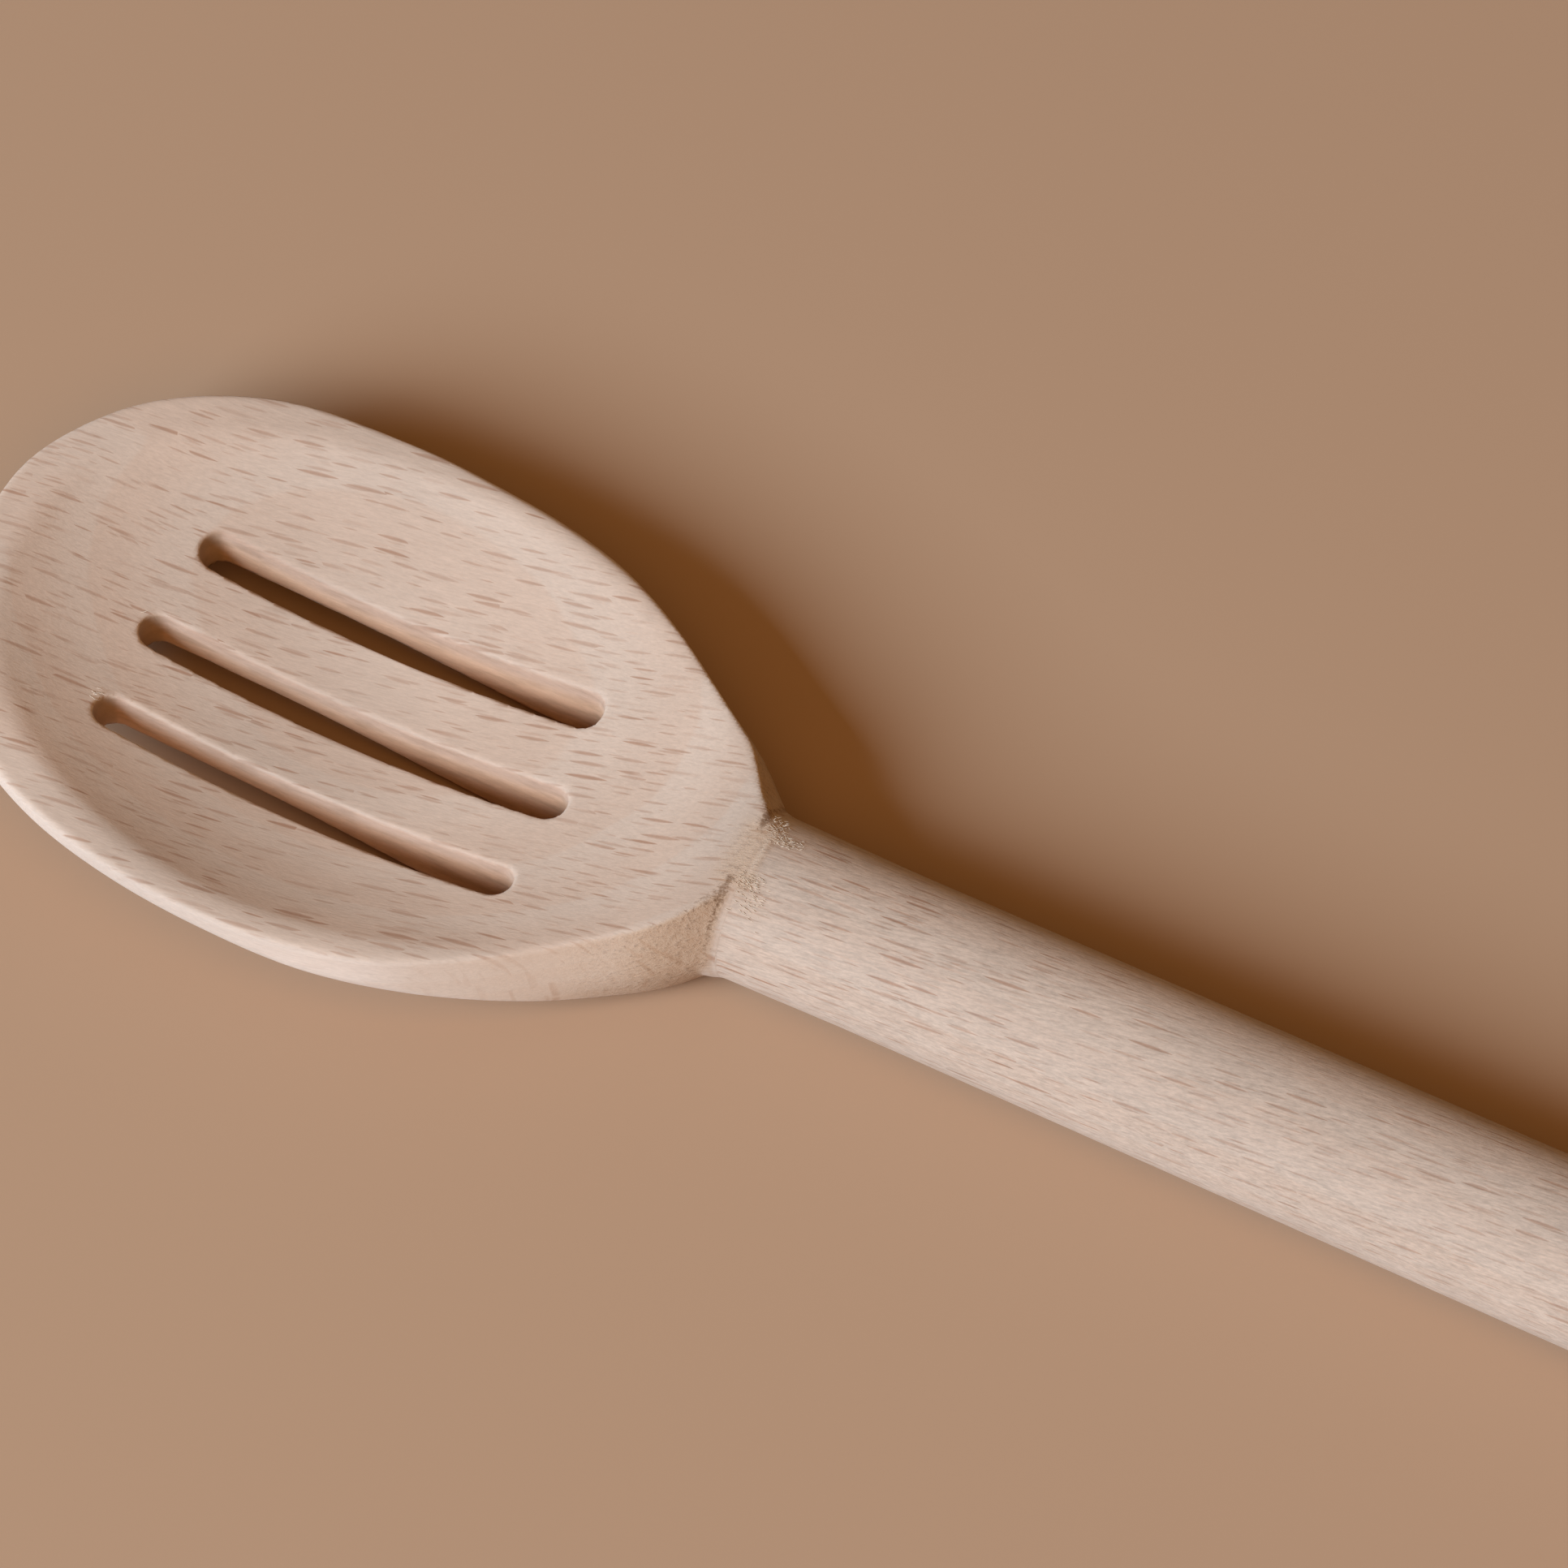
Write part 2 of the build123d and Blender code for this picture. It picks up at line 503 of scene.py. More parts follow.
    def lattice(self) -> Places:
        """Places of the lattice that the skin is drawn on, finer at the bowl than along the grip.

        Returns:
            The places along x, y and z.
        """
        ball = self.handle_length - self.ball_long
        bowl = np.arange(-self.bowl_length - self.margin, self.fine_end, self.cell)
        first, second = bowl[-1] + np.array(self.widening)
        grip = np.arange(second, ball, self.grip_cell)
        end = np.arange(ball, self.handle_length + self.ball_margin, self.ball_cell)
        x = np.concatenate([bowl, [first], grip, end])
        y = np.arange(-self.half_width - self.margin, self.half_width + self.margin, self.cell)
        z = np.arange(-self.belly_depth - self.margin / 2, self.neck_radius + self.margin / 2, self.cell)
        return x, y, z

    def skin(self) -> tuple[Array, Array]:
        """Draw the closed skin on the lattice.

        Returns:
            Points in millimetres, and the four corners of each face.
        """
        x, y, z = self.lattice()
        grid = np.stack(np.meshgrid(x, y, z, indexing="ij"), axis=-1)
        values = self.distance(grid)
        inside = values < 0
        corners = [(i, j, k) for i in (0, 1) for j in (0, 1) for k in (0, 1)]

        def shifted(a: Array, i: int, j: int, k: int) -> Array:
            """The values at one corner of every cell."""
            return a[i : a.shape[0] - 1 + i, j : a.shape[1] - 1 + j, k : a.shape[2] - 1 + k]

        count = sum(shifted(inside, *c).astype(np.int8) for c in corners)
        mixed = (count > 0) & (count < 8)
        index = np.full(mixed.shape, -1, dtype=np.int64)
        index[mixed] = np.arange(mixed.sum())
        cells = np.argwhere(mixed)
        total = np.zeros((len(cells), 3))
        hits = np.zeros(len(cells))
        for a in corners:
            for axis in range(3):
                if a[axis]:
                    continue
                b = tuple(1 if n == axis else v for n, v in enumerate(a))
                ia = tuple((cells + a).T)
                ib = tuple((cells + b).T)
                va, vb = values[ia], values[ib]
                cross = (va < 0) != (vb < 0)
                share = np.where(cross, va / np.where(cross, va - vb, 1), 0)
                place = grid[ia] + share[:, None] * (grid[ib] - grid[ia])
                total[cross] += place[cross]
                hits[cross] += 1
        points = total / hits[:, None]
        faces = []
        for axis in range(3):
            ahead = [slice(None)] * 3
            back = [slice(None)] * 3
            ahead[axis] = slice(1, None)
            back[axis] = slice(None, -1)
            first, second = inside[tuple(back)], inside[tuple(ahead)]
            edges = np.argwhere(first != second)
            others = [n for n in range(3) if n != axis]
            edges = edges[(edges[:, others[0]] > 0) & (edges[:, others[1]] > 0)]
            ring = []
            for du, dv in ((0, 0), (1, 0), (1, 1), (0, 1)):
                at = edges.copy()
                at[:, others[0]] -= du
                at[:, others[1]] -= dv
                ring.append(index[tuple(at.T)])
            quad = np.stack(ring, axis=-1)
            outward = first[tuple(edges.T)]
            flip = outward if axis == 1 else ~outward
            quad[flip] = quad[flip][:, ::-1]
            faces.append(quad)
        return self.settled(points), np.concatenate(faces)

    def settled(self, points: Array) -> Array:
        """Move points down the slope onto the skin, by less than a cell at a time.

        Args:
            points: Places near the skin.

        Returns:
            Places on it.
        """
        for _ in range(self.passes):
            slope = self.gradient(points)
            size = np.maximum((slope**2).sum(-1), self.least_square)
            move = -(self.distance(points) / size)[:, None] * slope
            length = np.linalg.norm(move, axis=-1)
            move *= np.minimum(1, self.cell / np.maximum(length, TINY))[:, None]
            points = points + move
        return points

    def placed(self, points: Array) -> Array:
        """Millimetres from the neck, as metres in the part's frame."""
        return (points + np.array([self.shift, 0.0, self.lift])) * MM

    def mesh(self, name: str) -> Thing:
        """Make the spoon's object, with what the finish has to know of each point.

        Args:
            name: Name of the object and its mesh.

        Returns:
            The object, at the origin.
        """
        points, faces = self.skin()
        mesh = bpy.data.meshes.new(name)
        mesh.vertices.add(len(points))
        mesh.vertices.foreach_set("co", self.placed(points).astype(np.float32).ravel())
        mesh.loops.add(faces.size)
        mesh.loops.foreach_set("vertex_index", faces.astype(np.int32).ravel())
        mesh.polygons.add(len(faces))
        mesh.polygons.foreach_set("loop_start", np.arange(0, faces.size, 4, dtype=np.int32))
        mesh.update(calc_edges=True)
        mesh.validate()
        mesh.shade_smooth()
        slope = self.gradient(points)
        normal = slope / np.linalg.norm(slope, axis=-1, keepdims=True)
        for key, values in self.masks(points, normal).items():
            layer = mesh.attributes.new(key, "FLOAT", "POINT")
            layer.data.foreach_set("value", values.astype(np.float32))
        return added(name, mesh)

    def masks(self, points: Array, normal: Array) -> dict[str, Array]:
        """Work out how the wood was cut and worn, and where shade and bounced light are painted.

        Args:
            points: Places in millimetres from the neck.
            normal: Outward directions at those places.

        Returns:
            Values of 0 to 1 by name.
        """
        at = tuple(points.T)
        x, y, z = at
        ahead, aside, up = normal[:, 0], np.abs(normal[:, 1]), normal[:, 2]
        crosscut = ramp(ahead, *self.cut_lean)
        saddle = self.patches(at, self.saddle_tears) * self.torn_top.read(at)
        over, out = z - self.top(x), np.hypot(y, z) - self.shoulder(x)
        edge = np.exp(-(over**2) / self.edge_widths[0] - out**2 / self.edge_widths[1])
        edge = edge * self.torn_edge.read(at)
        # A thin darker line along the crease where the shoulder meets the handle
        corner = np.exp(-((x - self.corner_place) ** 2) / self.corner_width) * self.darker_crease.read(at)
        bore = np.min([self.slot(at, *place) for place in self.slots], axis=0)
        milled = ramp(-bore, *self.wall_near) * self.slot_side.read(at)
        below = self.hollow(at)
        edgewise = np.maximum(ramp(aside, *self.side_lean), ramp(-up, *self.under_lean))
        # The seam gets torn colour that is partly torn wood and partly painted shade over its crest's
        # highlight
        torn = crosscut * self.torn_shoulder.read(at) + self.torn_and_shaded_seam.read(at)
        torn = torn + self.saddle_torn * saddle + self.edge_torn * edge
        return {
            # The slot walls carry painted shade, and deeper down painted warm bounced light
            "milled": milled * ramp(below, *self.wall_start),
            "deep": ramp(below, *self.wall_deep),
            "radial": edgewise * (1 - milled) * self.bowl_side.read(at),
            "torn": np.clip(torn, 0, 1),
            # The soil mask holds the torn edge's dirt and the darker line along the crease
            "soil": np.clip(self.edge_soil * edge + self.crease_darkening * corner, 0, 1),
            "fray": saddle * ramp(up, *self.fray_lean),
            "whisker": self.patches(at, self.slot_tears) * ramp(up, *self.whisker_lean),
            "crosscut": crosscut,
        }

    @staticmethod
    def patches(at: Places, tears: Rows) -> Array:
        """Soft patches.

        Args:
            at: The x, y and z of the places.
            tears: For each patch its x and y, its half length and half width, and its strength.

        Returns:
            Values of 0 to 1.
        """
        total = np.zeros_like(at[0])
        for along, across, long, wide, strength in tears:
            total += strength * np.exp(-(((at[0] - along) / long) ** 2) - ((at[1] - across) / wide) ** 2)
        return np.clip(total, 0, 1)


@dataclass
class Graph:
    """A node tree with short calls to add nodes, join them and name its sockets."""

    tree: Tree
    column: int = 0
    pitch: int = 180

    def node(self, kind: str, *sources: object, **settings: object) -> bpy.types.Node:
        """Add a node.

        Args:
            kind: Its type.
            sources: What its first inputs are fed with, in order.
            settings: Its properties.

        Returns:
            The node.
        """
        made = self.tree.nodes.new(kind)
        made.location = (self.column * self.pitch, 0)
        self.column += 1
        for key, value in settings.items():
            setattr(made, key, value)
        for socket, source in zip(made.inputs, sources):
            self.feed(socket, source)
        return made

    def feed(self, target: Socket, source: object) -> None:
        """Feed an input.

        Args:
            target: The input.
            source: A socket to link, a plain value, or None to leave the input as it is.
        """
        if isinstance(source, Socket):
            self.tree.links.new(source, target)
        elif source is not None:
            target.default_value = source

    def sockets(self, kind: str, *names: str, side: str = "INPUT") -> None:
        """Declare sockets of the tree."""
        for name in names:
            self.tree.interface.new_socket(name, in_out=side, socket_type=f"NodeSocket{kind}")

    @classmethod
    def dressing(cls, name: str, **inputs: tuple[str, ...]) -> "Graph":
        """Start a Geometry Nodes tree with geometry in and out, a finish and the given inputs.

        Args:
            name: Its name.
            inputs: Names of the other inputs, by their kind.

        Returns:
            The graph.
        """
        g = cls(bpy.data.node_groups.new(name, "GeometryNodeTree"))
        for kind, names in {"Geometry": ("Geometry",), "Material": ("Finish",), **inputs}.items():
            g.sockets(kind, *names)
        g.sockets("Geometry", "Geometry", side="OUTPUT")
        return g

    def close(self, geometry: Socket, finish: Socket) -> Tree:
        """End the tree.

        Args:
            geometry: What it gives.
            finish: What that wears.

        Returns:
            The tree.
        """
        dressed = self.node("GeometryNodeSetMaterial", geometry, None, finish)
        self.node("NodeGroupOutput", dressed.outputs[0])
        return self.tree

    def math(self, operation: str, a: object, b: object = None, c: object = None) -> Socket:
        """Scalar arithmetic."""
        return self.node("ShaderNodeMath", a, b, c, operation=operation).outputs[0]

    def times(self, a: object, b: object) -> Socket:
        """Product of two numbers."""
        return self.math("MULTIPLY", a, b)

    def vector(self, operation: str, a: object, b: object = None, scale: object = None) -> Socket:
        """Vector arithmetic."""
        return self.node("ShaderNodeVectorMath", a, b, None, scale, operation=operation).outputs[0]

    def split(self, source: Socket) -> Sockets:
        """The three parts of a vector."""
        return self.node("ShaderNodeSeparateXYZ", source).outputs

    def smooth(self, value: Socket, low: float, high: float, start: float = 0.0, end: float = 1.0) -> Socket:
        """Smooth step of a value from low to high."""
        sources = (value, low, high, start, end)
        return self.node("ShaderNodeMapRange", *sources, interpolation_type="SMOOTHSTEP").outputs[0]

    def mix(self, share: object, a: Socket, b: Socket, blend: str = "MIX") -> Socket:
        """Mix two colours, which are the seventh and eighth inputs of the node."""
        sources = (share, *[None] * 5, a, b)
        return self.node("ShaderNodeMix", *sources, data_type="RGBA", blend_type=blend).outputs[2]

    def noise(self, at: Socket, seed: object, detail: float = 2.0, rough: float = 0.5) -> Socket:
        """Noise of 0 to 1, drawn at a seed."""
        sources = (at, seed, 1.0, detail, rough)
        return self.node("ShaderNodeTexNoise", *sources, noise_dimensions="4D").outputs[0]


@dataclass(frozen=True)
class BeechFinish:
    """Colours of bare beech, with painted shade and painted warm bounced light for the slot walls, and how
    strongly its figure shows.
    """

    early: Rgb = linear(208, 188, 177)
    late: Rgb = linear(203, 173, 156)
    silver: Rgb = linear(217, 202, 196)
    ray: Rgb = linear(174, 137, 118)
    crosscut: Rgb = linear(199, 171, 148)
    soil: Rgb = linear(122, 90, 66)
    # Slot walls: painted shade at the top, partly their own tone, and painted warm bounced light deeper down
    milled: Rgb = linear(197, 166, 150)
    deep: Rgb = linear(208, 169, 144)
    fleck_strength: float = 0.8
    shine: float = 0.3
    chalk: float = 0.45
    bump_strength: float = 0.5
    bump_height: float = 0.1
    tone: Tone = Tone.SANDED

    def material(self, figure: Tree) -> Material:
        """Make the material.

        Args:
            figure: The node group of the wood's figure.

        Returns:
            A material that reads object coordinates and the mesh's own masks.
        """
        made = bpy.data.materials.new(f"beech_{self.tone.value}")
        made.use_nodes = True
        made.node_tree.nodes.clear()
        g = Graph(made.node_tree)
        group = g.node("ShaderNodeGroup", node_tree=figure)
        g.feed(group.inputs["Place"], g.node("ShaderNodeTexCoord").outputs["Object"])
        for key in MASKS:
            g.feed(group.inputs[key], g.node("ShaderNodeAttribute", attribute_name=key).outputs["Fac"])
        for key in COLOURS:
            group.inputs[f"{key} colour"].default_value = (*getattr(self, key), 1.0)
        group.inputs["Fleck strength"].default_value = self.fleck_strength
        bump = g.node("ShaderNodeBump", self.bump_strength, self.bump_height * MM)
        g.feed(bump.inputs["Height"], group.outputs["Height"])
        shader = g.node("ShaderNodeBsdfPrincipled", group.outputs["Colour"])
        g.feed(shader.inputs["Roughness"], group.outputs["Roughness"])
        g.feed(shader.inputs["Normal"], bump.outputs[0])
        shader.inputs["Specular IOR Level"].default_value = self.shine
        shader.inputs["Diffuse Roughness"].default_value = self.chalk
        g.node("ShaderNodeOutputMaterial", shader.outputs[0])
        return made


@dataclass(frozen=True)
class Grain:
    """A noise drawn on the wood."""

    scale: Triple
    detail: float
    rough: float
    seed: float

    def draw(self, g: Graph, wood: Socket) -> Socket:
        """Add the noise to a graph."""
        return g.noise(g.vector("MULTIPLY", wood, self.scale), self.seed, self.detail, self.rough)


@dataclass
class BeechFigure:
    """The figure of beech: rays, rings, fibres and pores, as one shader node group.

    A pair whose name ends in both is a value on the bowl and one on the handle. Other pairs are the two
    ends of a soft step, or what it gives at its ends.
    """

    grain_turn: float = 8.5
    grain_lean: float = 9.0
    sway_width: float = 3.0
    handle_turn: float = 4.0
    handle_radius: float = 9.0
    handle_start: Span = (0.5, 0.7)
    handle_stretch: float = 1.2
    bowl_stretch: Triple = (1.2, 1.28, 1.0)

    ray_cell: Triple = (4.6, 1.25, 3.6)
    ray_half: Triple = (1.9, 0.165, 2.0)
    ray_moves: Triple = (37.1, 11.7, 23.3)
    ray_spread: float = 0.75
    ray_least: float = 0.45
    ray_edge: Span = (1.5, 0.35)
    ray_ends: Span = (0.0, 0.08)
    ray_depth: Span = (1.0, 0.7)
    ray_odds: Span = (-0.1, 0.7)
    small_share: float = 0.72
    small_strength: float = 0.65
    thinnest: float = 0.001
    tint_spread: float = 0.5
    tint_least: float = 0.6
    flecks_both: Span = (1.05, 1.17)
    milled_bare: float = 0.8
    faint_places: Span = (-50.0, 0.0)
    faint: float = 0.72
    edgewise_span: Span = (0.2, 1.0)
    edgewise_flecks: float = 0.15

    ring_step: float = 3.0
    ring_phase: float = 0.067
    ring_swell: float = 0.6
    ring_rise: Span = (0.1, 0.75)
    ring_fall: Span = (1.0, 0.94)
    rings_both: Span = (0.3, 0.2)

    sway: Grain = Grain((0.03, 0.08, 0.08), 1.0, 0.5, 3.0)
    swell: Grain = Grain((0.03, 0.05, 0.1), 2.0, 0.5, 5.0)
    fibre: Grain = Grain((0.28, 3.6, 3.6), 3.0, 0.65, 7.0)
    pore: Grain = Grain((1.2, 5.0, 5.0), 2.0, 0.7, 9.0)
    cloud: Grain = Grain((0.05, 0.09, 0.09), 2.0, 0.5, 11.0)
    speck: Grain = Grain((0.75, 2.7, 2.7), 4.0, 0.75, 13.0)
    crumb: Grain = Grain((1.9, 3.0, 3.0), 4.0, 0.75, 17.0)
    burr: Grain = Grain((0.13, 0.8, 0.8), 2.0, 0.5, 19.0)
    noise_span: Span = (0.3, 0.7)
    pore_shade: Span = (-0.042, 0.036)
    fibre_shade: Span = (-0.044, 0.044)
    cloud_shade: Span = (-0.03, 0.03)
    coarse_both: Span = (1.0, 2.35)

    tone_places: Span = (-68.0, -57.0)
    handle_tone: float = 0.84
    dish_place: float = -114.0
    dish_reach: float = 21.0
    dish_tone: float = 0.94
    silvering: float = 0.6
    burr_span: Span = (0.45, 0.65)
    burr_dirt: float = 0.22
    wall_end_dirt: float = 0.45
    speck_span: Span = (0.5, 0.68)
    cut_share: float = 0.35
    torn_share: float = 0.48
    crumb_span: Span = (0.6, 0.85)
    crumb_lift: float = 0.3
    soil_span: Span = (0.05, 0.5)
    soil_share: float = 0.8

    rough_span: Span = (0.2, 0.8)
    rough_ends: Span = (0.56, 0.68)
    torn_rough: float = 0.2
    pore_height: float = 0.5
    fibre_height: float = 0.3
    ray_height: float = 0.15
    torn_height: float = 4.0

    @staticmethod
    def either(g: Graph, beyond: Socket, both: Span) -> Socket:
        """One value on the bowl and another on the handle."""
        return g.math("MULTIPLY_ADD", beyond, both[1] - both[0], both[0])

    def rays(self, g: Graph, wood: Socket, seed: float, share: float) -> tuple[Socket, Socket]:
        """Lens-shaped rays, one in each cell.

        Args:
            g: The graph to add to.
            wood: Place along, across and through the grain, in millimetres.
            seed: Moves the cells.
            share: Size of these rays, as a share of the largest.

        Returns:
            Mask of the rays, and a random value for each.
        """
        moved = g.vector("ADD", wood, tuple(seed * step for step in self.ray_moves))
        cell = tuple(size * share for size in self.ray_cell)
        half = tuple(size * share for size in self.ray_half)
        scaled = g.vector("DIVIDE", moved, cell)
        cells = g.node("ShaderNodeTexVoronoi", scaled, voronoi_dimensions="3D", feature="F1")
        cells.inputs["Scale"].default_value = 1.0
        off = g.vector("MULTIPLY", g.vector("SUBTRACT", scaled, cells.outputs["Position"]), cell)
        chance = g.node("ShaderNodeSeparateColor", cells.outputs["Color"]).outputs
        girth = g.math("MULTIPLY_ADD", chance[0], self.ray_spread, self.ray_least)
        along, across, through = g.split(g.vector("DIVIDE", off, half))
        along = g.math("ABSOLUTE", g.math("DIVIDE", along, girth))
        bow = g.math("SUBTRACT", 1.0, g.math("POWER", along, 2.0))
        thick = g.math("MAXIMUM", g.times(bow, girth), self.thinnest)
        across = g.math("DIVIDE", g.math("ABSOLUTE", across), thick)
        mask = g.times(g.smooth(across, *self.ray_edge), g.smooth(bow, *self.ray_ends))
        mask = g.times(mask, g.smooth(g.math("ABSOLUTE", through), *self.ray_depth))
        return g.times(mask, g.smooth(chance[1], *self.ray_odds)), chance[2]

    def grained(self, g: Graph, place: Socket) -> Socket:
        """Coordinates that follow the grain of the blank.

        Args:
            g: The graph to add to.
            place: Object coordinates.

        Returns:
            Place along, across and through the grain, in millimetres.
        """
        turn = g.node("ShaderNodeMapping", place, vector_type="POINT")
        lean = -math.radians(self.grain_lean)
        turn.inputs["Rotation"].default_value = (lean, 0.0, -math.radians(self.grain_turn))
        turn.inputs["Scale"].default_value = (1 / MM, 1 / MM, 1 / MM)
        sway = g.math("SUBTRACT", self.sway.draw(g, turn.outputs[0]), 0.5)
        bent = g.node("ShaderNodeCombineXYZ", None, g.times(sway, self.sway_width))
        return g.vector("ADD", turn.outputs[0], bent.outputs[0])

    def rolled(self, g: Graph, place: Socket) -> tuple[Socket, Socket]:
        """Coordinates that follow the handle's skin, so that rays show all round it.

        Args:
            g: The graph to add to.
            place: Object coordinates.

        Returns:
            Place along, round and through the handle, in millimetres, and a mask of the handle.
        """
        x, y, z = g.split(g.vector("SCALE", place, scale=1 / MM))
        angle = g.math("ARCTAN2", y, g.math("SUBTRACT", z, SpoonForm.lift))
        drift = g.times(x, -math.tan(math.radians(self.handle_turn)))
        around = g.math("MULTIPLY_ADD", angle, self.handle_radius, drift)
        made = g.node("ShaderNodeCombineXYZ", g.math("DIVIDE", x, self.handle_stretch), around)
        start, full = (SpoonForm.shift + step for step in self.handle_start)
        return made.outputs[0], g.smooth(x, start, full)

    def group(self) -> Tree:
        """Build the group.

        Returns:
            Its tree.
        """
        tree = bpy.data.node_groups.new("Beech figure", "ShaderNodeTree")
        g = Graph(tree)
        g.sockets("Vector", "Place")
        g.sockets("Float", *MASKS, "Fleck strength")
        g.sockets("Color", *(f"{key} colour" for key in COLOURS))
        g.sockets("Color", "Colour", side="OUTPUT")
        g.sockets("Float", "Roughness", "Height", side="OUTPUT")
        given = g.node("NodeGroupInput").outputs
        early, late, silver, rays, cut, soil, milled, deep = (given[f"{key} colour"] for key in COLOURS)
        wood = self.grained(g, given["Place"])
        handle, beyond = self.rolled(g, given["Place"])
        bowl = g.vector("DIVIDE", wood, self.bowl_stretch)
        lying = g.node("ShaderNodeMix", beyond, None, None, None, bowl, handle, data_type="VECTOR").outputs[1]
        large, tint = self.rays(g, lying, 0.0, 1.0)
        small, _ = self.rays(g, lying, 1.0, self.small_share)
        ray = g.math("MAXIMUM", large, g.times(small, self.small_strength))
        along, _, through = g.split(wood)
        # Growth rings lie almost level and swell a little, and wood that is cut edgewise is silvery
        swell = g.times(g.math("SUBTRACT", self.swell.draw(g, wood), 0.5), self.ring_swell)
        depth = g.math("ADD", g.math("DIVIDE", through, self.ring_step), self.ring_phase)
        ring = g.math("FRACT", g.math("ADD", depth, swell))
        ring = g.times(g.smooth(ring, *self.ring_rise), g.smooth(ring, *self.ring_fall))
        colour = g.mix(g.times(ring, self.either(g, beyond, self.rings_both)), early, late)
        edgewise = g.times(given["radial"], g.math("SUBTRACT", 1.0, beyond))
        colour = g.mix(g.times(edgewise, self.silvering), colour, silver)
        # Milled walls are burred in streaks, and darker where they cut the grain. Their colour is partly
        # their own tone and partly painted shade, and it turns a warmer orange deeper down as painted bounced
        # light
        wall = g.mix(given["deep"], milled, deep)
        burr = g.smooth(self.burr.draw(g, wood), *self.burr_span, 0.0, self.burr_dirt)
        for share in (burr, g.times(given["crosscut"], self.wall_end_dirt)):
            wall = g.mix(share, wall, soil)
        colour = g.mix(given["milled"], colour, wall)
        # The rays, which stay faint on milled and edgewise wood and toward the end of the handle
        strength = g.math("MULTIPLY_ADD", tint, self.tint_spread, self.tint_least)
        for factor in (
            given["Fleck strength"],
            self.either(g, beyond, self.flecks_both),
            g.math("SUBTRACT", 1.0, g.times(given["milled"], self.milled_bare)),
            g.smooth(along, *self.faint_places, 1.0, self.faint),
            g.smooth(edgewise, *self.edgewise_span, 1.0, self.edgewise_flecks),
        ):
            strength = g.times(strength, factor)
        colour = g.mix(g.times(ray, strength), colour, rays)
        # Shades of fibres, pores and clouds, and the tones of the handle and the dish
        fibre, pore, cloud = (grain.draw(g, wood) for grain in (self.fibre, self.pore, self.cloud))
        fine = g.smooth(pore, *self.noise_span, *self.pore_shade)
        fine = g.math("ADD", fine, g.smooth(fibre, *self.noise_span, *self.fibre_shade))
        shade = g.times(fine, self.either(g, beyond, self.coarse_both))
        shade = g.math("ADD", shade, g.smooth(cloud, *self.noise_span, *self.cloud_shade))
        aside = g.math("ABSOLUTE", g.math("SUBTRACT", along, self.dish_place))
        toned = g.smooth(along, *self.tone_places, 1.0, self.handle_tone)
        toned = g.times(toned, g.smooth(aside, 0.0, self.dish_reach, self.dish_tone, 1.0))
        shade = g.times(g.math("ADD", shade, 1.0), toned)
        grey = g.node("ShaderNodeCombineColor", shade, shade, shade)
        colour = g.mix(1.0, colour, grey.outputs[0], "MULTIPLY")
        # Wood cut across its fibres drinks the light and shows its open ends
        speck = self.speck.draw(g, wood)
        ends = g.mix(g.smooth(speck, *self.speck_span), cut, soil)
        colour = g.mix(g.times(given["crosscut"], self.cut_share), colour, cut)
        colour = g.mix(g.times(given["torn"], self.torn_share), colour, ends)
        # Dirt on the torn edge and the darker line along the crease, as specks of the soil colour
        crumb = g.math("ADD", self.crumb.draw(g, wood), g.times(given["soil"], self.crumb_lift))
        dirt = g.times(g.smooth(crumb, *self.crumb_span), g.smooth(given["soil"], *self.soil_span))
        colour = g.mix(g.times(dirt, self.soil_share), colour, soil)
        sanded = g.smooth(fibre, *self.rough_span, *self.rough_ends)
        rough = g.math("MULTIPLY_ADD", given["torn"], self.torn_rough, sanded)
        height = g.math("ADD", g.times(pore, self.pore_height), g.times(fibre, self.fibre_height))
        height = g.math("SUBTRACT", height, g.times(ray, self.ray_height))
        height = g.math("ADD", height, g.times(g.times(speck, given["torn"]), self.torn_height))
        g.node("NodeGroupOutput", colour, rough, height)
        return tree


def bake(thing: Thing) -> Thing:
    """Turn an object's evaluated shape into its plain mesh, with no modifier left.

    Args:
        thing: An object whose modifiers are set.

    Returns:
        The same object.
    """
    depsgraph = bpy.context.evaluated_depsgraph_get()
    mesh = bpy.data.meshes.new_from_object(thing.evaluated_get(depsgraph), depsgraph=depsgraph)
    thing.modifiers.clear()
    old = thing.data
    mesh.name = thing.name
    thing.data = mesh
    if old.users == 0:
        bpy.data.meshes.remove(old)
    return thing


def dress_with(thing: Thing, tree: Tree, values: dict[str, object]) -> None:
    """Put a Geometry Nodes tree on an object and set its inputs by their sockets' identifiers.

    Args:
        thing: The object.
        tree: The tree.
        values: Input names and their values.
    """
    modifier = thing.modifiers.new(tree.name, "NODES")
    modifier.node_group = tree
    for item in tree.interface.items_tree:
        if item.item_type == "SOCKET" and item.in_out == "INPUT" and item.name in values:
            modifier[item.identifier] = values[item.name]


